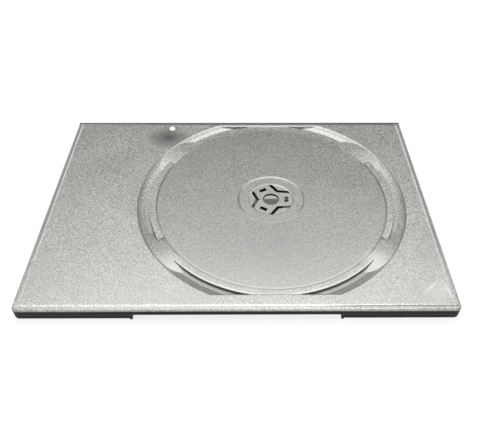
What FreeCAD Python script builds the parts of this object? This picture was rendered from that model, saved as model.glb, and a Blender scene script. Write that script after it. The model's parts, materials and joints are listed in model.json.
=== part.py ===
import FreeCAD, Part
import os

# Slim double disc case, lying closed with one outer face up.
# Frame: X along the long side, Y from the opening edge to the spine, Z up, origin under the middle.

doc = FreeCAD.newDocument("double_disc_case")
sheet = doc.addObject("Spreadsheet::Sheet", "Sizes")

SIZES = [
    # closed case
    ("case_width", 190.0),
    ("case_thick", 7.0),
    ("part_gap", 0.1),
    # moulded shell of each half
    ("wall_side", 1.3),
    ("deck_wall", 0.9),
    ("skin", 0.8),
    ("edge_round", 1.1),
    ("corner_round", 2.6),
    # low ledge that runs round the raised deck
    ("rim_width", 2.5),
    ("rim_back", 1.5),
    ("rim_drop", 0.25),
    ("rim_run", 0.8),
    # spine and its two folding hinges
    ("spine_thick", 0.9),
    ("hinge_gap", 0.1),
    ("spine_inset", 0.3),
    # disc well, seen from outside, drawn round the disc that it holds
    ("disc_r", 60.0),
    ("disc_room", 1.5),
    ("well_shift", 16.58),
    ("chord_cut", 0.5),
    ("chord_bevel", 0.8),
    ("chord_lift", 0.3),
    ("margin_back", 3.36),
    ("margin_front", 8.04),
    ("moat_run", 5.3),
    ("moat_foot", 0.7),
    ("moat_depth", 2.2),
    ("rib_width", 3.1),
    ("rib_depth", 0.6),
    ("rib_draft", 0.2),
    ("break_depth", 1.8),
    ("floor_depth", 1.1),
    ("step_draft", 0.35),
    # finger ramps across the moat
    ("ramp_angle", 35.2),
    ("ramp_round", 85.0),
    ("ramp_tilt", 5.0),
    ("ramp_crest", 0.15),
    ("ramp_start", 50.0),
    ("ramp_reach", 40.0),
    ("rib_break", 15.2),
    # hub
    ("seat_r", 16.8),
    ("seat_depth", 1.55),
    ("seat_bevel", 0.65),
    ("cup_r", 11.3),
    ("cup_depth", 1.8),
    ("hub_skin", 0.4),
    ("hub_gap", 0.1),
    ("crown_r", 7.35),
    ("crown_tip", 0.08),
    ("dimple_r", 4.1),
    ("dimple_floor", 0.5),
    ("slot_vertex_r", 6.0),
    ("slot_width", 1.6),
    ("slot_turn", 65.8),
    ("window_r", 7.9),
    ("window_long", 3.8),
    ("window_short", 2.0),
    # gate marks beside the spine
    ("gate_shift", 39.3),
    ("gate_back", 5.8),
    ("gate_r", 1.9),
    ("gate_dish", 0.45),
    ("gate_sink", 0.05),
    ("gate_high", 0.5),
    # thumb notch in the lower half
    ("notch_width", 89.0),
    ("notch_deep", 3.2),
    ("notch_wall", 1.1),
    # closing stud and socket at the opening corners
    ("stud_shift", 84.0),
    ("stud_front", 7.5),
    ("stud_r", 1.6),
    ("stud_fit", 0.3),
    ("socket_wall", 1.0),
    ("stud_lap", 1.6),
]

DERIVED = [
    ("rib_outer_r", "disc_r + disc_room"),
    ("rib_inner_r", "rib_outer_r - rib_width"),
    ("moat_foot_r", "rib_outer_r + moat_foot"),
    ("moat_rim_r", "moat_foot_r + moat_run"),
    ("well_chord", "rib_outer_r - chord_cut"),
    ("chord_foot", "well_chord - chord_bevel / 2"),
    ("well_back", "well_chord + margin_back"),
    ("case_depth", "well_back + well_chord + margin_front"),
    ("half_thick", "(case_thick - part_gap) / 2"),
    ("front_y", "-case_depth / 2"),
    ("hinge_y", "case_depth / 2 - spine_thick / 2"),
    ("back_y", "case_depth / 2 - spine_thick - hinge_gap"),
    ("half_depth", "case_depth - spine_thick - hinge_gap"),
    ("deck_z", "case_thick"),
    ("part_z", "case_thick - half_thick"),
    ("well_y", "case_depth / 2 - well_back"),
    ("moat_slope", "moat_run / moat_depth"),
    ("cove_run", "moat_rim_r - rib_outer_r"),
    ("cove_r", "(cove_run * cove_run + moat_depth * moat_depth) / (2 * moat_depth)"),
    ("cove_turn", "asin(cove_run / cove_r)"),
    ("cove_r1", "rib_outer_r + cove_r * sin(cove_turn / 3)"),
    ("cove_r2", "rib_outer_r + cove_r * sin(cove_turn * 2 / 3)"),
    ("cove_depth1", "moat_depth - cove_r * (1 - cos(cove_turn / 3))"),
    ("cove_depth2", "moat_depth - cove_r * (1 - cos(cove_turn * 2 / 3))"),
    ("deck_half_x", "case_width / 2 - rim_width"),
    ("deck_half_y", "(half_depth - rim_width - rim_back) / 2"),
    ("deck_y", "front_y + rim_width + deck_half_y"),
    ("ridge_low", "moat_depth + skin"),
    ("cup_low", "cup_depth + hub_skin"),
    ("crown_low", "half_thick - crown_tip"),
    ("gate_y", "case_depth / 2 - gate_back"),
    ("stud_y", "front_y + stud_front"),
]


def fill_sheet():
    row = 1
    for alias, value in SIZES:
        sheet.set("A%d" % row, alias)
        sheet.set("B%d" % row, str(value))
        sheet.setAlias("B%d" % row, alias)
        row += 1
    doc.recompute()
    for alias, formula in DERIVED:
        sheet.set("A%d" % row, alias)
        sheet.set("B%d" % row, "=" + formula)
        sheet.setAlias("B%d" % row, alias)
        doc.recompute()
        row += 1


NAMES = sorted([alias for alias, _ in SIZES + DERIVED], key=len, reverse=True)


def tied(formula):
    """Write a formula of size names as an expression on the sheet."""
    out = []
    word = ""
    for char in str(formula) + " ":
        if char.isalnum() or char == "_":
            word += char
            continue
        out.append("Sizes." + word if word in NAMES else word)
        out.append(char)
        word = ""
    return "".join(out).strip()


def bind(obj, **formulas):
    for prop, formula in formulas.items():
        obj.setExpression(prop.replace("__", "."), tied(formula))
    return obj


def place(obj, x="0", y="0", z="0", turn=None):
    """Put an object at a point; turn is a product of (axis, angle) rotations."""
    spot = "vector(%s; %s; %s)" % (tied(x), tied(y), tied(z))
    spin = "rotation(vector(0; 0; 1); 0)"
    if turn:
        spin = " * ".join(
            "rotation(vector(%s); %s)" % (axis, tied(angle)) for axis, angle in turn
        )
    obj.setExpression("Placement", "placement(%s; %s)" % (spot, spin))
    return obj


def block(name, size, at, turn=None):
    obj = doc.addObject("Part::Box", name)
    bind(obj, Length=size[0], Width=size[1], Height=size[2])
    return place(obj, at[0], at[1], at[2], turn)


def drum(name, radius, height, at, turn=None):
    obj = doc.addObject("Part::Cylinder", name)
    bind(obj, Radius=radius, Height=height)
    return place(obj, at[0], at[1], at[2], turn)


def taper(name, low_r, high_r, height, at):
    obj = doc.addObject("Part::Cone", name)
    bind(obj, Radius1=low_r, Radius2=high_r, Height=height)
    return place(obj, at[0], at[1], at[2])


def frustum(name, low_x, high_x, low_y, high_y, height, at):
    """A block with leaning sides, given by its half sizes below and above."""
    obj = doc.addObject("Part::Wedge", name)
    bind(obj, Xmin="-(%s)" % low_x, Xmax=low_x, X2min="-(%s)" % high_x, X2max=high_x)
    bind(obj, Zmin="-(%s)" % low_y, Zmax=low_y, Z2min="-(%s)" % high_y, Z2max=high_y)
    bind(obj, Ymin="0", Ymax=height)
    return place(obj, at[0], at[1], at[2], [("1; 0; 0", "90")])


def join(name, shapes):
    obj = doc.addObject("Part::MultiFuse", name)
    obj.Shapes = shapes
    obj.Refine = True
    doc.recompute()
    return obj


def common(name, shapes):
    obj = doc.addObject("Part::MultiCommon", name)
    obj.Shapes = shapes
    doc.recompute()
    return obj


def cut(name, base, tool):
    obj = doc.addObject("Part::Cut", name)
    obj.Base = base
    obj.Tool = tool
    obj.Refine = True
    doc.recompute()
    return obj


fill_sheet()


# Outer block of a half: a plate with round corners, a rounded outer edge on three sides
# and a square edge along the hinge.
def outer_block(tag):
    body = doc.addObject("PartDesign::Body", tag + "_block")
    slab = body.newObject("PartDesign::AdditiveBox", tag + "_slab")
    bind(slab, Length="case_width", Width="half_depth", Height="half_thick - rim_drop")
    place(slab, "-case_width / 2", "front_y", "part_z")
    doc.recompute()

    def upright(near_front):
        found = []
        middle = slab.Shape.BoundBox.Center.y
        for index, edge in enumerate(slab.Shape.Edges):
            ends = [vertex.Point for vertex in edge.Vertexes]
            standing = abs(ends[0].z - ends[1].z) > 1.0
            if standing and (ends[0].y < middle) == near_front:
                found.append("Edge%d" % (index + 1))
        return found

    front = body.newObject("PartDesign::Fillet", tag + "_front_corners")
    front.Base = (slab, upright(True))
    bind(front, Radius="corner_round")
    doc.recompute()
    top_edges = []
    box = front.Shape.BoundBox
    for index, edge in enumerate(front.Shape.Edges):
        if edge.BoundBox.ZMin < box.ZMax - 0.01:
            continue
        if edge.BoundBox.YMin > box.YMax - 0.01:
            continue
        top_edges.append("Edge%d" % (index + 1))
    brow = body.newObject("PartDesign::Fillet", tag + "_brow")
    brow.Base = (front, top_edges)
    bind(brow, Radius="edge_round")
    body.Tip = brow
    doc.recompute()
    return body


# Raised deck inside the rim ledge: a low truncated pyramid, whose sides slope down to the ledge.
def raised_deck(tag):
    return frustum(
        tag + "_deck",
        "deck_half_x + 1.5 * rim_run",
        "deck_half_x - rim_run / 2",
        "deck_half_y + 1.5 * rim_run",
        "deck_half_y - rim_run / 2",
        "2 * rim_drop",
        ("0", "deck_y", "deck_z - 2 * rim_drop"),
    )


def at_well(depth):
    """A point on the axis of the disc well, a depth below the deck."""
    return ("well_shift", "well_y", "deck_z - (%s)" % depth)


# Barrel-shaped ramps that bridge the moat, one in each quarter of the well.
def ramps(tag, extra):
    made = []
    quarter = ["ramp_angle", "180 - ramp_angle", "180 + ramp_angle", "-ramp_angle"]
    sink = "deck_z - ramp_crest - ramp_round / cos(ramp_tilt)"
    for number, angle in enumerate(quarter):
        obj = drum(
            "%s_%d" % (tag, number + 1),
            "ramp_round - " + extra,
            "ramp_reach",
            (
                "well_shift + cos(%s) * ramp_start" % angle,
                "well_y + sin(%s) * ramp_start" % angle,
                "%s - (moat_rim_r - ramp_start) * tan(ramp_tilt)" % sink,
            ),
            [("0; 0; 1", angle), ("0; 1; 0", "90 - ramp_tilt")],
        )
        made.append(obj)
    return join(tag, made)


# Gaps in the rib under each ramp, square across.
def rib_breaks(tag, side, inner, outer, depth):
    made = []
    quarter = ["ramp_angle", "180 - ramp_angle", "180 + ramp_angle", "-ramp_angle"]
    half = "(rib_break / 2 + %s)" % side
    for number, angle in enumerate(quarter):
        obj = block(
            "%s_%d" % (tag, number + 1),
            ("%s - (%s)" % (outer, inner), "2 * " + half, depth),
            (
                "well_shift + cos(%s) * (%s) + sin(%s) * %s" % (angle, inner, angle, half),
                "well_y + sin(%s) * (%s) - cos(%s) * %s" % (angle, inner, angle, half),
                "deck_z - (%s)" % depth,
            ),
            [("0; 0; 1", angle)],
        )
        made.append(obj)
    return made


# Straight band that trims the round well in front and behind.
def chord_band(tag, half, depth, height):
    return block(
        tag,
        ("4 * moat_rim_r", "2 * (%s)" % half, height),
        ("well_shift - 2 * moat_rim_r", "well_y - (%s)" % half, "deck_z - (%s)" % depth),
    )


# The band's upper part leans outward, which bevels the two straight edges of the well.
def chord_flare(tag):
    return frustum(
        tag,
        "2 * moat_rim_r",
        "2 * moat_rim_r",
        "chord_foot",
        "chord_foot + chord_bevel * (rib_depth + chord_lift) / rib_depth",
        "rib_depth + chord_lift",
        ("well_shift", "well_y", "deck_z - rib_depth"),
    )


# Hollow of the well as seen from outside: moat, rib, floor, hub seat and hub cup.
def well_hollow(tag):
    foot = taper(
        tag + "_cove1",
        "rib_outer_r",
        "cove_r1",
        "moat_depth - cove_depth1",
        at_well("moat_depth"),
    )
    bank = taper(
        tag + "_cove2",
        "cove_r1",
        "cove_r2",
        "cove_depth1 - cove_depth2",
        at_well("cove_depth1"),
    )
    brow = taper(
        tag + "_cove3",
        "cove_r2",
        "moat_rim_r + chord_lift * (moat_rim_r - cove_r2) / cove_depth2",
        "cove_depth2 + chord_lift",
        at_well("cove_depth2"),
    )
    cove = join(tag + "_cove", [foot, bank, brow])
    core = taper(
        tag + "_core",
        "rib_outer_r + rib_draft",
        "rib_outer_r - rib_draft / 2",
        "moat_depth + 2 * rib_depth",
        at_well("moat_depth + rib_depth"),
    )
    moat = cut(tag + "_moat", cove, core)
    mouth = drum(tag + "_mouth", "moat_foot_r", "rib_depth + chord_lift", at_well("rib_depth"))
    ring = join(tag + "_ring", [moat, mouth])
    breaks = join(
        tag + "_breaks",
        rib_breaks(tag + "_break", "0", "rib_inner_r - skin", "moat_foot_r", "break_depth"),
    )
    island = drum(
        tag + "_island",
        "rib_inner_r - step_draft / 2",
        "break_depth",
        at_well("break_depth + floor_depth"),
    )
    troughs = join(tag + "_troughs", [ring, cut(tag + "_gaps", breaks, island)])
    bridged = cut(tag + "_bridged", troughs, ramps(tag + "_ramp", "0"))
    floor = taper(
        tag + "_floor",
        "rib_inner_r - step_draft / 2",
        "rib_inner_r",
        "floor_depth",
        at_well("floor_depth"),
    )
    seat = taper(
        tag + "_seat",
        "seat_r - seat_bevel",
        "seat_r",
        "seat_depth - floor_depth",
        at_well("seat_depth"),
    )
    cup = taper(
        tag + "_cup",
        "cup_r - step_draft",
        "cup_r",
        "cup_depth - seat_depth",
        at_well("cup_depth"),
    )
    whole = join(tag + "_round", [bridged, floor, seat, cup])
    low = chord_band(tag + "_low", "chord_foot", "moat_depth", "moat_depth - rib_depth")
    band = join(tag + "_band", [low, chord_flare(tag + "_flare")])
    return common(tag, [whole, band])


# Back of the well: the same form one skin lower, which the disc lies against.
def well_back(tag):
    ridge = taper(
        tag + "_ridge",
        "moat_foot_r + skin / 2",
        "moat_foot_r + skin / 2 + moat_slope * (ridge_low - deck_wall / 2)",
        "ridge_low - deck_wall / 2",
        at_well("ridge_low"),
    )
    groove = taper(
        tag + "_groove",
        "rib_outer_r - skin + 0.15",
        "rib_outer_r - skin",
        "ridge_low - rib_depth - skin",
        at_well("ridge_low"),
    )
    ring = cut(tag + "_ring", ridge, groove)
    parts = [ring]
    parts += rib_breaks(tag + "_pad", "skin", "rib_inner_r - skin", "moat_foot_r", "ridge_low")
    low = join(tag + "_low", parts)
    arched = cut(tag + "_arched", low, ramps(tag + "_scoop", "skin"))
    floor = drum(tag + "_floor", "rib_inner_r + skin", "floor_depth", at_well("floor_depth + skin"))
    seat = drum(tag + "_seat", "seat_r + skin / 2", "seat_depth", at_well("seat_depth + skin * 0.6"))
    cup = drum(tag + "_cup", "cup_r + skin", "cup_depth", at_well("cup_low"))
    whole = join(tag + "_round", [arched, floor, seat, cup])
    band = chord_band(tag + "_band", "well_chord + skin", "ridge_low", "ridge_low + 1")
    return common(tag, [whole, band])


# Arrow-headed prisms that part the three hub arms from the plates between them.
def hub_wedges(tag, vertex):
    made = []
    for number, angle in enumerate(["60", "180", "300"]):
        sides = []
        for mark, sign in (("a", "+"), ("b", "-")):
            reach = "3 * cup_r"
            turn = "(%s %s slot_turn)" % (angle, sign)
            shift_x = "-cos%s * %s" % (turn, reach)
            shift_y = "-sin%s * %s" % (turn, reach)
            if sign == "+":
                shift_x += " + sin%s * %s" % (turn, reach)
                shift_y += " - cos%s * %s" % (turn, reach)
            sides.append(
                block(
                    "%s_%d%s" % (tag, number + 1, mark),
                    ("2 * " + reach, reach, "2 * half_thick"),
                    (
                        "well_shift + cos(%s) * (%s) + %s" % (angle, vertex, shift_x),
                        "well_y + sin(%s) * (%s) + %s" % (angle, vertex, shift_y),
                        "part_z - half_thick / 2",
                    ),
                    [("0; 0; 1", turn)],
                )
            )
        made.append(common("%s_%d" % (tag, number + 1), sides))
    return join(tag, made)


# One moulded half: block, hollow inside, well with its back, hub opening.
def half_moulding(tag):
    block_body = outer_block(tag)
    deck = raised_deck(tag)
    plate = join(tag + "_plate", [block_body, deck])
    hollow = block(
        tag + "_hollow",
        ("case_width - 2 * wall_side", "half_depth", "half_thick - deck_wall + 1"),
        ("wall_side - case_width / 2", "front_y + wall_side", "part_z - 1"),
    )
    shell = cut(tag + "_shell", plate, hollow)
    inner = well_back(tag + "_wellback")
    filled = join(tag + "_filled", [shell, inner])
    sunk = cut(tag + "_sunk", filled, well_hollow(tag + "_well"))
    bore = drum(tag + "_hubbore", "cup_r - step_draft", "2 * half_thick",
                ("well_shift", "well_y", "part_z - half_thick / 2"))
    vertex = "slot_vertex_r + slot_width / sin(slot_turn)"
    plates = hub_wedges(tag + "_hubplate", vertex)
    opening = cut(tag + "_hubopening", bore, plates)
    opened = cut(tag + "_open", sunk, join(tag + "_openings", [opening, gate_dish(tag)]))
    return join(tag + "_moulding", [opened] + gate_pips(tag))


# Three-armed hub with a dished crown, parted from its half by the slots.
def hub_spider(tag):
    arms = drum(tag + "_arms", "cup_r - step_draft - hub_gap", "hub_skin", at_well("cup_low"))
    crown = drum(tag + "_crown", "crown_r", "crown_low - cup_depth", at_well("crown_low"))
    solid = join(tag + "_solid", [arms, crown])
    dimple = drum(
        tag + "_dimple", "dimple_r", "crown_low", at_well("crown_low - dimple_floor")
    )
    tools = [dimple, hub_wedges(tag + "_slot", "slot_vertex_r")]
    for number, angle in enumerate(["0", "120", "240"]):
        tools.append(
            block(
                "%s_window_%d" % (tag, number + 1),
                ("window_short", "window_long", "2 * half_thick"),
                (
                    "well_shift + cos(%s) * (window_r - window_short / 2) + sin(%s) * window_long / 2"
                    % (angle, angle),
                    "well_y + sin(%s) * (window_r - window_short / 2) - cos(%s) * window_long / 2"
                    % (angle, angle),
                    "part_z - half_thick / 2",
                ),
                [("0; 0; 1", angle)],
            )
        )
    return cut(tag, solid, join(tag + "_tools", tools))


# Gate marks beside the spine: a pip in a shallow dish on the deck and one at the moat's foot.
def gate_dish(tag):
    return taper(
        tag + "_gatedish",
        "gate_r + 0.2",
        "gate_r + 0.2 + gate_dish",
        "gate_dish",
        ("-gate_shift", "gate_y", "deck_z - gate_dish"),
    )


def gate_pips(tag):
    on_deck = taper(
        tag + "_deckgate",
        "gate_r",
        "gate_r * 0.8",
        "gate_dish + 0.1 - gate_sink",
        ("-gate_shift", "gate_y", "deck_z - gate_dish - 0.1"),
    )
    in_moat = taper(
        tag + "_moatgate",
        "gate_r",
        "gate_r * 0.8",
        "gate_high + 0.1",
        ("gate_shift", "gate_y", "deck_z - moat_depth - 0.1"),
    )
    return [on_deck, in_moat]


# Upper half: closing sockets inside its two opening corners.
upper = half_moulding("upper")
sockets = []
bores = []
for side, sign in (("left", "-"), ("right", "")):
    spot = ("%sstud_shift" % sign, "stud_y", "part_z")
    sockets.append(
        drum("socket_" + side, "stud_r + stud_fit + socket_wall", "half_thick - deck_wall / 2", spot)
    )
    low = ("%sstud_shift" % sign, "stud_y", "part_z - 1")
    bores.append(drum("socket_bore_" + side, "stud_r + stud_fit", "stud_lap + stud_fit + 1", low))
upper_solid = join("upper_solid", [upper] + sockets)
upper_half = cut("upper_half", upper_solid, join("socket_bores", bores))

upper_hub = hub_spider("upper_hub")

# Lower half: the same moulding turned over, with a thumb notch and closing studs.
lower = half_moulding("lower")
studs = []
for side, sign in (("left", "-"), ("right", "")):
    spot = ("%sstud_shift" % sign, "stud_y", "part_z - part_gap - stud_lap")
    studs.append(
        drum("stud_" + side, "stud_r", "half_thick + part_gap + stud_lap - deck_wall / 2", spot)
    )
notch_wall = block(
    "notch_wall",
    ("notch_width + 2 * notch_wall", "notch_deep + notch_wall", "half_thick - rim_drop - 0.05"),
    ("-notch_width / 2 - notch_wall", "front_y", "part_z"),
)
notch = block(
    "notch",
    ("notch_width", "notch_deep + 1", "2 * half_thick"),
    ("-notch_width / 2", "front_y - 1", "part_z - half_thick / 2"),
)
lower_solid = join("lower_solid", [lower, notch_wall] + studs)
lower_half = cut("lower_half", lower_solid, notch)
lower_hub = hub_spider("lower_hub")
for turned in (lower_half, lower_hub):
    place(turned, "0", "0", "case_thick", [("0; 1; 0", "180")])

# Spine: a flat strip with a round bead along each folding line.
strip = block(
    "spine_strip",
    ("case_width - 2 * spine_inset", "spine_thick", "case_thick - spine_thick"),
    ("spine_inset - case_width / 2", "case_depth / 2 - spine_thick", "spine_thick / 2"),
)
beads = []
for level, height in (("low", "spine_thick / 2"), ("high", "case_thick - spine_thick / 2")):
    beads.append(
        drum(
            "spine_bead_" + level,
            "spine_thick / 2",
            "case_width - 2 * spine_inset",
            ("spine_inset - case_width / 2", "hinge_y", height),
            [("0; 1; 0", "90")],
        )
    )
spine = join("spine", [strip] + beads)

doc.recompute()

NODES = {
    "upper_half": upper_half,
    "lower_half": lower_half,
    "upper_hub": upper_hub,
    "lower_hub": lower_hub,
    "spine": spine,
}

for obj in doc.Objects:
    if "Invalid" in obj.State or "Error" in obj.State:
        raise RuntimeError("not computed: " + obj.Name)

os.makedirs("parts", exist_ok=True)
for node, obj in NODES.items():
    shape = obj.Shape
    if not shape.isValid() or len(shape.Solids) != 1:
        raise RuntimeError("bad solid: %s, %d solids" % (node, len(shape.Solids)))
    shape.exportStep("parts/%s.step" % node)
    box = shape.optimalBoundingBox(False)
    print(node, round(shape.Volume, 1), [round(v, 2) for v in
          (box.XMin, box.XMax, box.YMin, box.YMax, box.ZMin, box.ZMax)])
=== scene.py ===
import json
import math

import bpy
from mathutils import Matrix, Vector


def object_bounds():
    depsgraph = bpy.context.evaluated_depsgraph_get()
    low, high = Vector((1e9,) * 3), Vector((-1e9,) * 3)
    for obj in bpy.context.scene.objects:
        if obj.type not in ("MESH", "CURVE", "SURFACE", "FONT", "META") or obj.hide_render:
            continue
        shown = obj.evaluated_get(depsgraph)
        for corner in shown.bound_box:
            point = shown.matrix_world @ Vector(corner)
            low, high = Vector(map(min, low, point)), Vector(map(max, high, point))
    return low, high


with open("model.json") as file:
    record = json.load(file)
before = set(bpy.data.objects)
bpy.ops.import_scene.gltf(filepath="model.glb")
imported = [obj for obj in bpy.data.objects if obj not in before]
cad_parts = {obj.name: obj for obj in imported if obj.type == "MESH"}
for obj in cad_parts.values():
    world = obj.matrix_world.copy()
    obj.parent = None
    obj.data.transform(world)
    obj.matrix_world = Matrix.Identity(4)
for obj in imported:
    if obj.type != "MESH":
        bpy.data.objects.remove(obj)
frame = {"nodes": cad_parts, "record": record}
cad_low, cad_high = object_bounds()
bpy.ops.object.select_all(action="DESELECT")


# Lower half of the case: one injection moulding in grey polypropylene, lying with its outer
# face down. The mould is spark-eroded, so its broad faces come out with a fine satin grain;
# the outside walls leave the mould smooth and are painted near-black as shade, and the two
# gates leave white stubs.
lower_half = frame["nodes"]["lower_half"]
hub_seats = {mount["name"]: mount["pos_m"] for mount in frame["record"]["mounts"]}
lower_well = hub_seats["lower_hub_seat"]


def add_node(tree, kind, **settings):
    """Add a shader node; names of inputs set their values, other names set properties."""
    made = tree.nodes.new(kind)
    for name, value in settings.items():
        if name in made.bl_rna.properties:
            setattr(made, name, value)
        else:
            made.inputs[name.replace("_", " ")].default_value = value
    return made


def wire(tree, source, target, output=0, entry=0):
    tree.links.new(source.outputs[output], target.inputs[entry])


def spread(tree, source, low, high, output="Fac", start=0.3, end=0.7):
    """Turn the values from start to end, by default the middle of a noise, into low to high."""
    made = add_node(tree, "ShaderNodeMapRange", From_Min=start, From_Max=end, To_Min=low, To_Max=high)
    wire(tree, source, made, output)
    return made


def both(tree, first, second):
    """The product of two tones or of two masks."""
    made = add_node(tree, "ShaderNodeMath", operation="MULTIPLY")
    wire(tree, first, made)
    wire(tree, second, made, 0, 1)
    return made


def new_finish(name, gloss):
    """A new material, its nodes, and its shader with the strength of its reflection set."""
    finish = bpy.data.materials.new(name)
    finish.use_nodes = True
    shader = finish.node_tree.nodes["Principled BSDF"]
    shader.inputs["Specular IOR Level"].default_value = gloss
    return finish, finish.node_tree, shader


def tint(tree, shader, colour, tone):
    """Give the shader a colour, made lighter and darker by a tone."""
    shade = add_node(tree, "ShaderNodeMix", data_type="RGBA", blend_type="MULTIPLY")
    shade.inputs["Factor"].default_value = 1.0
    shade.inputs["A"].default_value = colour
    wire(tree, tone, shade, 0, "B")
    wire(tree, shade, shader, "Result", "Base Color")


SATIN_IOR = 2.2
SATIN_ROUGHNESS = (0.33, 0.51)
GRAIN_PITCH = 1400.0
GRAIN_SLANT = (0.6, 0.45, 0.3)
GRAIN_MIDDLE = (0.36, 0.64)
GRAIN_HEIGHT = 0.0001
CLOUD_PITCH = 38.0
CLOUD_TONE = (0.86, 1.14)
EDGE_RADIUS = 0.0002


def grained_polypropylene(name, colour, speckle, gloss=1.0):
    """Satin plastic with the fine, uneven grain of a spark-eroded mould."""
    plastic, tree, shader = new_finish(name, gloss)
    shader.inputs["IOR"].default_value = SATIN_IOR
    place = add_node(tree, "ShaderNodeTexCoord")
    slant = add_node(tree, "ShaderNodeMapping", Rotation=GRAIN_SLANT)
    wire(tree, place, slant, "Object", "Vector")
    grain = add_node(tree, "ShaderNodeTexNoise", Scale=GRAIN_PITCH, Detail=2.0, Roughness=0.6)
    wire(tree, slant, grain, 0, "Vector")
    cloud = add_node(tree, "ShaderNodeTexNoise", Scale=CLOUD_PITCH, Detail=3.0, Roughness=0.55)
    wire(tree, place, cloud, "Object", "Vector")
    specks = spread(tree, grain, 1.0 - speckle, 1.0 + speckle, "Fac", *GRAIN_MIDDLE)
    tint(tree, shader, colour, both(tree, specks, spread(tree, cloud, *CLOUD_TONE)))
    wire(tree, spread(tree, grain, *SATIN_ROUGHNESS), shader, 0, "Roughness")

    edge = add_node(tree, "ShaderNodeBevel", samples=6, Radius=EDGE_RADIUS)
    tooth = add_node(tree, "ShaderNodeBump", Strength=0.8, Distance=GRAIN_HEIGHT)
    wire(tree, grain, tooth, "Fac", "Height")
    wire(tree, edge, tooth, 0, "Normal")
    wire(tree, tooth, shader, 0, "Normal")
    return plastic


FLOW_PITCH = 420.0
FLOW_STRETCH = (0.25, 0.25, 1.0)
FLOW_TONE = (0.78, 1.22)
FLOW_SHEEN = 0.07


def smooth_plastic(name, colour, roughness, gloss):
    """Ungrained plastic with the faint flow marks that a polished part of the mould leaves."""
    plastic, tree, shader = new_finish(name, gloss)
    place = add_node(tree, "ShaderNodeTexCoord")
    drawn = add_node(tree, "ShaderNodeMapping", Scale=FLOW_STRETCH)
    wire(tree, place, drawn, "Object", "Vector")
    flow = add_node(tree, "ShaderNodeTexNoise", Scale=FLOW_PITCH, Detail=4.0, Roughness=0.6)
    wire(tree, drawn, flow, 0, "Vector")
    tint(tree, shader, colour, spread(tree, flow, *FLOW_TONE))
    wire(tree, spread(tree, flow, roughness - FLOW_SHEEN, roughness + FLOW_SHEEN), shader, 0, "Roughness")
    return plastic


GREY = (0.214, 0.215, 0.203, 1.0)
# Painted highlight: the step faces along the deck's edges are coloured pale grey.
EDGE_HIGHLIGHT_GREY = (0.600, 0.600, 0.578, 1.0)
lower_plastic = grained_polypropylene("lower_half_plastic", GREY, speckle=0.95)
# Painted shade: the outside walls and the walls of the hub slots are coloured near-black.
wall_painted_shade = smooth_plastic("wall_painted_shade", (0.012, 0.012, 0.012, 1.0), roughness=0.45, gloss=0.12)
gate_plastic = smooth_plastic("gate_plastic", (0.85, 0.85, 0.83, 1.0), roughness=0.6, gloss=0.5)
# Painted shade: the outer wall of the rib round the well is coloured dark grey.
rib_wall_painted_shade = smooth_plastic("rib_wall_painted_shade", (0.085, 0.085, 0.082, 1.0), roughness=0.5, gloss=0.3)
edge_painted_highlight = grained_polypropylene("edge_painted_highlight", EDGE_HIGHLIGHT_GREY, speckle=0.6)
# Painted shade: the inner faces of the case are coloured dark, so the slots in the hubs look black.
inner_painted_shade = grained_polypropylene("inner_painted_shade", (0.050, 0.050, 0.048, 1.0), speckle=0.5)

FACE, WALL, GATE, INNER, RIB, EDGE = range(6)
RIM_WIDTH = 0.0025
SPINE_AND_BACK_RIM = 0.0025
DECK_X = cad_high[0] - RIM_WIDTH
DECK_FRONT_Y = cad_low[1] + RIM_WIDTH
DECK_BACK_Y = cad_high[1] - SPINE_AND_BACK_RIM
EDGE_BAND = 0.0010
STEP_SLOPE = (0.93, 0.97)
RIB_OUTER_R = 0.0615
RIB_WALL_R = (RIB_OUTER_R - 0.0003, RIB_OUTER_R + 0.0007)
HUB_HOLE_R = 0.0125
GATE_X = 0.0393
GATE_Y = cad_high[1] - 0.0058
GATE_R = 0.00187
UPRIGHT = 0.30
INWARD = -0.1
SMOOTH_ANGLE = math.radians(18.0)


def dress(piece, plastics, well, outward):
    """Give a half its finishes: grained faces, smooth outside walls, rib walls and inner faces painted dark
    as shade, steps painted pale as highlight, and gate stubs.
    """
    bpy.ops.object.select_all(action="DESELECT")
    piece.select_set(True)
    bpy.context.view_layer.objects.active = piece
    bpy.ops.object.shade_smooth_by_angle(angle=SMOOTH_ANGLE)
    bpy.ops.object.select_all(action="DESELECT")
    piece.data.materials.clear()
    for plastic in plastics:
        piece.data.materials.append(plastic)
    for face in piece.data.polygons:
        x, y = face.center[:2]
        facing = face.normal.z * outward
        upright = abs(face.normal.z) < UPRIGHT
        past_deck = max(abs(x) - DECK_X, DECK_FRONT_Y - y)
        outside = max(past_deck, y - DECK_BACK_Y) > EDGE_BAND
        reach = math.hypot(x - well[0], y - well[1])
        face.material_index = FACE
        if upright and (outside or reach < HUB_HOLE_R):
            face.material_index = WALL
        elif upright and RIB_WALL_R[0] < reach < RIB_WALL_R[1]:
            face.material_index = RIB
        elif math.hypot(abs(x) - GATE_X, y - GATE_Y) < GATE_R:
            face.material_index = GATE
        elif past_deck > -EDGE_BAND and STEP_SLOPE[0] < facing < STEP_SLOPE[1]:
            face.material_index = EDGE
        elif facing < INWARD:
            face.material_index = INNER


lower_finishes = [lower_plastic, wall_painted_shade, gate_plastic, inner_painted_shade, rib_wall_painted_shade, edge_painted_highlight]
dress(lower_half, lower_finishes, lower_well, -1)


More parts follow.
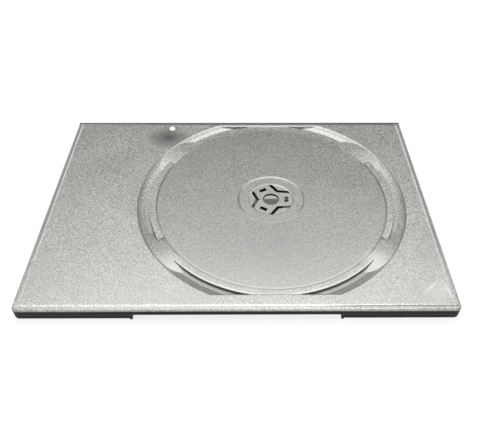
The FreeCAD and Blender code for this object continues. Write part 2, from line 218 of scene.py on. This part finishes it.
def overlay(plastic, mask, colour, blend="MIX", dull=None):
    """Lay a colour over a plastic, or multiply it by one, where the mask is 1.

    A value for dull sets the roughness there too.
    """
    tree = plastic.node_tree
    base = tree.nodes["Principled BSDF"].inputs["Base Color"]
    over = add_node(tree, "ShaderNodeMix", data_type="RGBA", blend_type=blend)
    over.inputs["B"].default_value = colour
    tree.links.new(base.links[0].from_socket, over.inputs["A"])
    wire(tree, mask, over, 0, "Factor")
    tree.links.new(over.outputs["Result"], base)
    if dull is not None:
        sheen = tree.nodes["Principled BSDF"].inputs["Roughness"]
        matt = add_node(tree, "ShaderNodeMix", data_type="FLOAT")
        matt.inputs["B"].default_value = dull
        tree.links.new(sheen.links[0].from_socket, matt.inputs["A"])
        wire(tree, mask, matt, 0, "Factor")
        tree.links.new(matt.outputs["Result"], sheen)


def fade(tree, source, full, gone, amount=1.0, output=0):
    """A mask that has its amount where a value is at full, and nothing where it is at gone."""
    return spread(tree, source, amount, 0.0, output, full, gone)


def without_sign(tree, source, output=0):
    made = add_node(tree, "ShaderNodeMath", operation="ABSOLUTE")
    wire(tree, source, made, output)
    return made


def away_from(tree, source, centre, output=0):
    """How far a value lies from a centre, to either side."""
    offset = add_node(tree, "ShaderNodeMath", operation="SUBTRACT")
    offset.inputs[1].default_value = centre
    wire(tree, source, offset, output)
    return without_sign(tree, offset)


def object_axes(tree):
    """The place on the piece, as its X, Y and Z."""
    place = add_node(tree, "ShaderNodeTexCoord")
    axes = add_node(tree, "ShaderNodeSeparateXYZ")
    wire(tree, place, axes, "Object")
    return axes


def well_reach(tree, well):
    """Distance from the axis of the disc well, and the place measured from that axis."""
    place = add_node(tree, "ShaderNodeTexCoord")
    local = add_node(tree, "ShaderNodeMapping", vector_type="TEXTURE", Location=(well[0], well[1], 0.0))
    wire(tree, place, local, "Object", "Vector")
    flat = add_node(tree, "ShaderNodeVectorMath", operation="MULTIPLY")
    flat.inputs[1].default_value = (1.0, 1.0, 0.0)
    wire(tree, local, flat)
    away = add_node(tree, "ShaderNodeVectorMath", operation="LENGTH")
    wire(tree, flat, away)
    side = add_node(tree, "ShaderNodeSeparateXYZ")
    wire(tree, local, side)
    return away, side


LINE_CORE = 0.4


def ring_line(plastic, well, radius, half_width, colour, amount, full, gone, axis="Y", dull=None):
    """A fine painted line of highlight or shade round the disc well, full at one place along an axis and
    gone at another.
    """
    tree = plastic.node_tree
    away, side = well_reach(tree, well)
    distance = away_from(tree, away, radius, "Value")
    line = fade(tree, distance, LINE_CORE * half_width, half_width, amount)
    if axis == "X":
        run = fade(tree, without_sign(tree, side, "X"), full, gone)
    else:
        run = fade(tree, side, full, gone, output=axis)
    overlay(plastic, both(tree, line, run), colour, "MIX", dull)


MOAT_RIM_R = 0.0675
RIB_INNER_R = 0.0584
FLOOR_R = RIB_INNER_R - 0.0005
SEAT_R = 0.0168
CUP_R = 0.0113
DIMPLE_R = 0.0041
# Colours of the painted lines: near-black for painted shade, pale greys for painted highlights.
BLACK = (0.01, 0.01, 0.01, 1.0)
DARK = (0.02, 0.02, 0.02, 1.0)
RIM_SHADE_DARK = (0.03, 0.03, 0.03, 1.0)
EDGE_LINE_HIGHLIGHT = (0.60, 0.60, 0.58, 1.0)
HIGHLIGHT_PALE = (0.75, 0.75, 0.73, 1.0)
HIGHLIGHT_BRIGHT = (0.80, 0.80, 0.78, 1.0)
MATT = 1.0
# Painted highlights and painted shade: pale lines where the edges of the rings of the well catch the light,
# dark lines where their walls and creases lie in shade.
WELL_HIGHLIGHT_AND_SHADE_LINES = (
    dict(radius=MOAT_RIM_R - 0.0003, half_width=0.00060, colour=RIM_SHADE_DARK, amount=0.8, full=0.056,
         gone=0.040, axis="X"),
    dict(radius=FLOOR_R - 0.0010, half_width=0.00045, colour=EDGE_LINE_HIGHLIGHT, amount=0.75, full=-0.048, gone=-0.028),
    dict(radius=RIB_OUTER_R - 0.0006, half_width=0.00050, colour=EDGE_LINE_HIGHLIGHT, amount=0.75, full=-0.046,
         gone=-0.036),
    dict(radius=MOAT_RIM_R - 0.0003, half_width=0.00050, colour=EDGE_LINE_HIGHLIGHT, amount=0.40, full=0.038, gone=0.028),
    dict(radius=FLOOR_R, half_width=0.00065, colour=BLACK, amount=1.0, full=0.010, gone=0.040),
    dict(radius=SEAT_R - 0.0002, half_width=0.00055, colour=HIGHLIGHT_PALE, amount=0.9, full=0.010, gone=0.003),
    dict(radius=SEAT_R, half_width=0.00060, colour=HIGHLIGHT_PALE, amount=0.8, full=-0.013, gone=-0.008),
    dict(radius=SEAT_R + 0.0002, half_width=0.00050, colour=BLACK, amount=0.6, full=0.0160,
         gone=0.0120, axis="X", dull=MATT),
    dict(radius=CUP_R - 0.0002, half_width=0.00045, colour=HIGHLIGHT_BRIGHT, amount=1.0, full=0.005, gone=0.001),
    dict(radius=CUP_R + 0.0002, half_width=0.00040, colour=BLACK, amount=0.5, full=-0.001, gone=0.005,
         dull=MATT),
    dict(radius=DIMPLE_R, half_width=0.00050, colour=BLACK, amount=0.85, full=0.0008, gone=-0.0012,
         dull=MATT),
)


def back_rim_painted_shade(plastic):
    """Painted shade on the narrow rim before the folding line, fading out towards its left-hand end."""
    tree = plastic.node_tree
    axes = object_axes(tree)
    behind = fade(tree, axes, full=DECK_BACK_Y + 0.0001, gone=DECK_BACK_Y - 0.0004, amount=0.8, output="Y")
    along = fade(tree, axes, full=-0.045, gone=-0.090, output="X")
    overlay(plastic, both(tree, behind, along), BLACK)


def side_rims_painted_shade(plastic):
    """Painted shade on the low ledges along the two short sides, darker than the deck between them."""
    tree = plastic.node_tree
    axes = object_axes(tree)
    across = without_sign(tree, axes, "X")
    beside = fade(tree, across, full=DECK_X + 0.0005, gone=DECK_X - 0.0005, amount=0.75)
    along = fade(tree, axes, full=-0.020, gone=-0.060, output="Y")
    overlay(plastic, both(tree, beside, along), DARK, dull=0.75)


def side_steps_painted_highlight(plastic):
    """Painted highlight along the steps from the deck down to the side ledges."""
    tree = plastic.node_tree
    axes = object_axes(tree)
    distance = away_from(tree, without_sign(tree, axes, "X"), centre=DECK_X - 0.0003)
    line = fade(tree, distance, full=0.0001, gone=0.00045, amount=0.38)
    along = fade(tree, axes, full=DECK_FRONT_Y + 0.0002, gone=DECK_FRONT_Y - 0.0008, output="Y")
    overlay(plastic, both(tree, line, along), HIGHLIGHT_PALE)


# Painted highlight and shade lines round the well, painted shade on the rims, painted highlight on the side
# steps.
for line in WELL_HIGHLIGHT_AND_SHADE_LINES:
    ring_line(lower_plastic, lower_well, **line)
back_rim_painted_shade(lower_plastic)
side_rims_painted_shade(lower_plastic)
side_steps_painted_highlight(lower_plastic)
side_steps_painted_highlight(edge_painted_highlight)


# Lower hub: three springy arms round a raised crown, moulded in one with the lower half and
# cut free by thin slots, so that pressing the crown lets the disc go. The middle of the crown
# is dished, with painted shade that makes it darker and a painted highlight that makes a paler
# crescent towards the spine.
lower_hub = frame["nodes"]["lower_hub"]
ARMS, CUT, DIMPLE = range(3)
CUT_SLOPE = 0.36
DIMPLE_SLOPE = 0.5
DIMPLE_DEPTH = 0.0010
MID_HEIGHT = 0.5 * cad_high[2]


def dimple_shade_and_highlight(name, well):
    """Satin plastic painted dark as shade in the dished crown, with a painted highlight as a pale crescent.
    """
    plastic = grained_polypropylene(name, (0.05, 0.05, 0.048, 1.0), speckle=0.5, gloss=0.4)
    ring_line(plastic, well, radius=0.0032, half_width=0.0026, colour=(0.50, 0.50, 0.48, 1.0),
              amount=0.95, full=0.0022, gone=0.0008)
    return plastic


def dress_hub(hub, plastics, well, outward):
    """Satin arms and crown, a dimple with painted shade and a painted highlight; the walls of slots and
    windows are smooth and painted dark as shade.
    """
    hub.data.materials.clear()
    for plastic in plastics:
        hub.data.materials.append(plastic)
    for face in hub.data.polygons:
        x, y, z = face.center
        in_middle = math.hypot(x - well[0], y - well[1]) < DIMPLE_R
        in_dimple = in_middle and abs(z - MID_HEIGHT) < DIMPLE_DEPTH
        face.material_index = ARMS
        if abs(face.normal.z) < CUT_SLOPE:
            face.material_index = CUT
        elif in_dimple and face.normal.z * outward > DIMPLE_SLOPE:
            face.material_index = DIMPLE


lower_dimple = dimple_shade_and_highlight("lower_dimple_shade_and_highlight", lower_well)
dress_hub(lower_hub, [lower_plastic, wall_painted_shade, lower_dimple], lower_well, -1)


# Spine: a flat strip of the same plastic between the two thin folding lines, smooth on its
# upright sides, where the mould parts, and faintly grained along its long edges. Both are
# painted much darker than the deck, as shade.
spine = frame["nodes"]["spine"]
SPINE_SIDE, SPINE_EDGE = range(2)
SPINE_EDGE_SLOPE = 0.36

spine_plastic = smooth_plastic("spine_plastic", (0.022, 0.022, 0.021, 1.0), roughness=0.45, gloss=0.12)
spine_top_painted_shade = grained_polypropylene("spine_top_painted_shade", (0.03, 0.03, 0.029, 1.0), 0.5, gloss=0.35)
spine.data.materials.clear()
spine.data.materials.append(spine_plastic)
spine.data.materials.append(spine_top_painted_shade)
for face in spine.data.polygons:
    face.material_index = SPINE_EDGE if abs(face.normal.z) > SPINE_EDGE_SLOPE else SPINE_SIDE


# Upper half: the same moulding turned over, with its outer face up and joined to the spine by
# the second folding line. It is the half that is seen most, so its smudge, its scuffed corner
# and the painted light and shade in and round its well are made here.
upper_half = frame["nodes"]["upper_half"]
upper_well = hub_seats["upper_hub_seat"]
upper_plastic = grained_polypropylene("upper_half_plastic", GREY, speckle=0.95)
# Painted shade: the outside walls of the upper half are coloured near-black.
upper_wall_shade = grained_polypropylene("upper_wall_painted_shade", (0.014, 0.014, 0.0135, 1.0), 0.3, gloss=0.03)
# Painted highlight on the step faces of the upper half.
upper_edge_highlight = grained_polypropylene("upper_edge_painted_highlight", EDGE_HIGHLIGHT_GREY, speckle=0.6)


def under_edge_painted_highlight(plastic):
    """Painted highlight on the top of the outside wall along the rounded edge, weaker towards the middle of
    the long sides.
    """
    tree = plastic.node_tree
    axes = object_axes(tree)
    high = fade(tree, axes, full=0.0063, gone=0.0052, output="Z")
    outer = spread(tree, without_sign(tree, axes, "X"), 0.15, 1.0, 0, start=0.035, end=0.055)
    overlay(plastic, both(tree, high, outer), (0.20, 0.20, 0.195, 1.0))


under_edge_painted_highlight(upper_wall_shade)
upper_finishes = [upper_plastic, upper_wall_shade, gate_plastic, inner_painted_shade, rib_wall_painted_shade, upper_edge_highlight]
dress(upper_half, upper_finishes, upper_well, 1)
for line in WELL_HIGHLIGHT_AND_SHADE_LINES:
    ring_line(upper_plastic, upper_well, **line)

DECK_Z = cad_high[2]
MOAT_FOOT_Z = DECK_Z - 0.0022
MOAT_LIGHT_GREY = (0.22, 0.22, 0.213, 1.0)
MOAT_HIGHLIGHT_PALE = (0.48, 0.48, 0.46, 1.0)


def moat_painted_light(plastic, well, colour, top, full, gone):
    """Painted light: a paler tone from the foot of the moat up to a height, on the opening side of the well.
    """
    tree = plastic.node_tree
    away, side = well_reach(tree, well)
    mask = fade(tree, side, full=MOAT_FOOT_Z, gone=top, output="Z")
    for limit in (
        fade(tree, away, full=RIB_OUTER_R + 0.0003, gone=RIB_OUTER_R - 0.0003, output="Value"),
        fade(tree, side, full=-0.037, gone=-0.017, output="Y"),
        fade(tree, without_sign(tree, side, "X"), full, gone),
    ):
        mask = both(tree, mask, limit)
    overlay(plastic, mask, colour)


# Painted light on the near side of the moat, and painted highlights along its foot.
moat_painted_light(upper_plastic, upper_well, MOAT_LIGHT_GREY, top=DECK_Z, full=0.070, gone=0.071)
moat_painted_light(upper_plastic, upper_well, MOAT_HIGHLIGHT_PALE, top=MOAT_FOOT_Z + 0.0006, full=0.018, gone=0.026)
moat_painted_light(upper_plastic, upper_well, MOAT_HIGHLIGHT_PALE, top=MOAT_FOOT_Z + 0.00025, full=0.070, gone=0.071)

SLOPE_Z = DECK_Z - 0.0010
FLOOR_Z = DECK_Z - 0.0011
SEAT_Z = DECK_Z - 0.0016
MARK_DEPTH = 0.0020
PALE = (0.45, 0.45, 0.43, 1.0)
SCRATCH = (0.6, 0.59, 0.57, 1.0)


def soft_mark(at, size, colour, amount, core, turn=0.0, blend="MIX", dull=None):
    """A soft-edged oval mark on the half; place and half sizes in metres, turn in degrees."""
    tree = upper_plastic.node_tree
    place = add_node(tree, "ShaderNodeTexCoord")
    local = add_node(tree, "ShaderNodeMapping", vector_type="TEXTURE")
    local.inputs["Location"].default_value = at
    local.inputs["Rotation"].default_value = (0.0, 0.0, math.radians(turn))
    local.inputs["Scale"].default_value = (size[0], size[1], MARK_DEPTH)
    wire(tree, place, local, "Object", "Vector")
    away = add_node(tree, "ShaderNodeVectorMath", operation="LENGTH")
    wire(tree, local, away)
    overlay(upper_plastic, fade(tree, away, core, 1.0, amount, "Value"), colour, blend, dull)


# The floor of the well is painted darker than the deck as shade, most of all towards the
# opening edge, and the seat and the cup round the hub are painted a little paler as light.
well_x, well_y = upper_well[:2]
soft_mark((well_x, well_y, FLOOR_Z), (FLOOR_R, FLOOR_R), DARK, amount=0.34, core=0.985, blend="MULTIPLY")
soft_mark((well_x, -0.0300, FLOOR_Z), (0.0520, 0.0300), DARK, amount=0.45, core=0.0, blend="MULTIPLY")
soft_mark((well_x, well_y, SEAT_Z), (0.0116, 0.0116), PALE, amount=0.22, core=0.95)
soft_mark((well_x, well_y, SEAT_Z), (SEAT_R, SEAT_R), PALE, amount=0.08, core=0.97)

# Painted highlights on the tips of the two finger ramps towards the opening edge.
soft_mark((0.0625, -0.0390, SLOPE_Z), (0.0075, 0.0070), PALE, amount=0.60, core=0.2)
soft_mark((-0.0290, -0.0410, SLOPE_Z), (0.0070, 0.0055), PALE, amount=0.40, core=0.2)

# Painted shade round the left gate stub; a dark smudge lies by the stub, and a faint line
# runs along the floor.
soft_mark((-GATE_X, 0.0603, DECK_Z), (0.0036, 0.0036), DARK, amount=0.5, core=0.5, blend="MULTIPLY")
soft_mark((-0.0405, 0.0520, DECK_Z), (0.0140, 0.0105), DARK, amount=0.9, core=0.1, blend="MULTIPLY",
          dull=0.32)
soft_mark((-0.0027, 0.0300, FLOOR_Z), (0.0009, 0.0300), DARK, amount=0.35, core=0.0, turn=2.0,
          blend="MULTIPLY")

# The right-hand corner is scuffed, with three short scratches, and one small painted glint
# shows on the deck.
soft_mark((0.0872, -0.0580, DECK_Z), (0.0072, 0.0066), PALE, amount=0.45, core=0.3, turn=41.0)
soft_mark((0.0842, -0.0550, DECK_Z), (0.0078, 0.0008), SCRATCH, amount=0.8, core=0.2, turn=41.0)
soft_mark((0.0912, -0.0570, DECK_Z), (0.0074, 0.0008), SCRATCH, amount=0.7, core=0.2, turn=101.0)
soft_mark((0.0888, -0.0560, DECK_Z), (0.0028, 0.0006), PALE, amount=0.9, core=0.2, turn=40.0)
soft_mark((0.0857, 0.0160, DECK_Z), (0.0010, 0.0006), PALE, amount=0.8, core=0.2)


def foot_crease_shade(plastic):
    """Painted shade in the crease at the foot of the deck's front edge, towards the right-hand corner."""
    tree = plastic.node_tree
    axes = object_axes(tree)
    distance = away_from(tree, axes, DECK_FRONT_Y - 0.0004, "Y")
    line = fade(tree, distance, full=0.0001, gone=0.0004, amount=0.8)
    along = fade(tree, axes, full=0.050, gone=0.036, output="X")
    overlay(plastic, both(tree, line, along), BLACK, dull=MATT)


# Painted shade in the front crease and on the rims, and painted highlight along the side steps.
foot_crease_shade(upper_plastic)
foot_crease_shade(upper_edge_highlight)
back_rim_painted_shade(upper_plastic)
side_rims_painted_shade(upper_plastic)
side_steps_painted_highlight(upper_plastic)
side_steps_painted_highlight(upper_edge_highlight)


# Upper hub: the same three-armed hub as below, moulded in one with the upper half. Its crown
# stands up on the inside of the case, so its dished back shows on the outside.
upper_hub = frame["nodes"]["upper_hub"]
upper_dimple = dimple_shade_and_highlight("upper_dimple_shade_and_highlight", upper_well)
dress_hub(upper_hub, [upper_plastic, wall_painted_shade, upper_dimple], upper_well, 1)


# Studio floor: a wide sheet of matt white paper that the case lies on. It is seen as white
# directly and in reflections, and it throws only a little light back at the case.
PAPER_SIZE = 8.0
PAPER_Z = -0.0002
PAPER_GLOW = 0.75
WHITE = (1.0, 1.0, 1.0, 1.0)

bpy.ops.object.select_all(action="DESELECT")
bpy.ops.mesh.primitive_plane_add(size=PAPER_SIZE, location=(0.0, 0.0, PAPER_Z))
floor = bpy.context.object
floor.name = "studio_floor"
paper, tree, matt = new_finish("white_paper", 0.0)
matt.inputs["Base Color"].default_value = (0.3, 0.3, 0.3, 1.0)
matt.inputs["Roughness"].default_value = 1.0
matt.inputs["Emission Color"].default_value = WHITE
sight = add_node(tree, "ShaderNodeLightPath")
seen = add_node(tree, "ShaderNodeMath", operation="MAXIMUM")
wire(tree, sight, seen, "Is Camera Ray", 0)
wire(tree, sight, seen, "Is Glossy Ray", 1)
seen_any = add_node(tree, "ShaderNodeMath", operation="MAXIMUM")
wire(tree, seen, seen_any, 0, 0)
wire(tree, sight, seen_any, "Is Transmission Ray", 1)
glow = add_node(tree, "ShaderNodeMath", operation="MULTIPLY")
glow.inputs[1].default_value = PAPER_GLOW
wire(tree, seen_any, glow)
wire(tree, glow, matt, 0, "Emission Strength")
floor.data.materials.append(paper)


# Studio room: white round the horizon and dimmer towards the ceiling, so that the satin deck
# shows a gradient from its back to its front. The camera sees it as plain white.
HORIZON = 0.08
CEILING = 0.40
CEILING_LIGHT = 0.11

world = bpy.data.worlds.new("studio")
bpy.context.scene.world = world
world.use_nodes = True
tree = world.node_tree
sky = tree.nodes["Background"]
sky.inputs["Color"].default_value = WHITE
aim = add_node(tree, "ShaderNodeTexCoord")
height = add_node(tree, "ShaderNodeSeparateXYZ")
wire(tree, aim, height, "Generated")
dimming = spread(tree, height, 1.0, CEILING_LIGHT, "Z", HORIZON, CEILING)
dimming.interpolation_type = "SMOOTHSTEP"
sight = add_node(tree, "ShaderNodeLightPath")
strength = add_node(tree, "ShaderNodeMath", operation="MAXIMUM")
wire(tree, dimming, strength)
wire(tree, sight, strength, "Is Camera Ray", 1)
wire(tree, strength, sky, 0, "Strength")


# Lamps: a broad softbox above and behind, whose reflection gives the deck its sheen, a strip
# overhead for the slopes of the well, and a low strip in front for the opening edge.
LAMP_COLOUR = (1.0, 0.997, 0.975)
LAMP_Z = 0.62


def soft_lamp(name, place, size, watts, tilt=0.0):
    """A rectangular softbox that points down, or is tilted from that towards the spine, in degrees."""
    bpy.ops.object.light_add(type="AREA", location=place, rotation=(math.radians(tilt), 0.0, 0.0))
    lamp = bpy.context.object
    lamp.name = name
    lamp.data.shape = "RECTANGLE"
    lamp.data.size = size[0]
    lamp.data.size_y = size[1]
    lamp.data.energy = watts
    lamp.data.color = LAMP_COLOUR


soft_lamp("key_lamp", place=(0.0, 0.27, LAMP_Z), size=(0.9, 0.30), watts=3.4)
soft_lamp("front_strip", place=(0.0, -0.07, LAMP_Z), size=(0.55, 0.18), watts=1.45)
soft_lamp("low_front_lamp", place=(0.0, -0.411, 0.296), size=(0.6, 0.10), watts=0.8, tilt=50.0)


# Camera: in front of the opening edge and above it, looking down on the case at about 46
# degrees, with a very slight turn and roll.
CAMERA_PLACE = (0.00421, -0.1927, 0.19027)
CAMERA_TURN = math.radians(-0.496)
CAMERA_PITCH = math.radians(44.02)
CAMERA_ROLL = math.radians(0.256)

bpy.ops.object.camera_add()
camera = bpy.context.object
camera.data.sensor_width = 36.0
camera.data.lens = 37.8
camera.data.clip_start = 0.01
camera.matrix_world = (
    Matrix.Translation(CAMERA_PLACE)
    @ Matrix.Rotation(CAMERA_TURN, 4, "Z")
    @ Matrix.Rotation(CAMERA_PITCH, 4, "X")
    @ Matrix.Rotation(CAMERA_ROLL, 4, "Z")
)
bpy.context.scene.camera = camera
bpy.context.scene.view_settings.view_transform = "Standard"
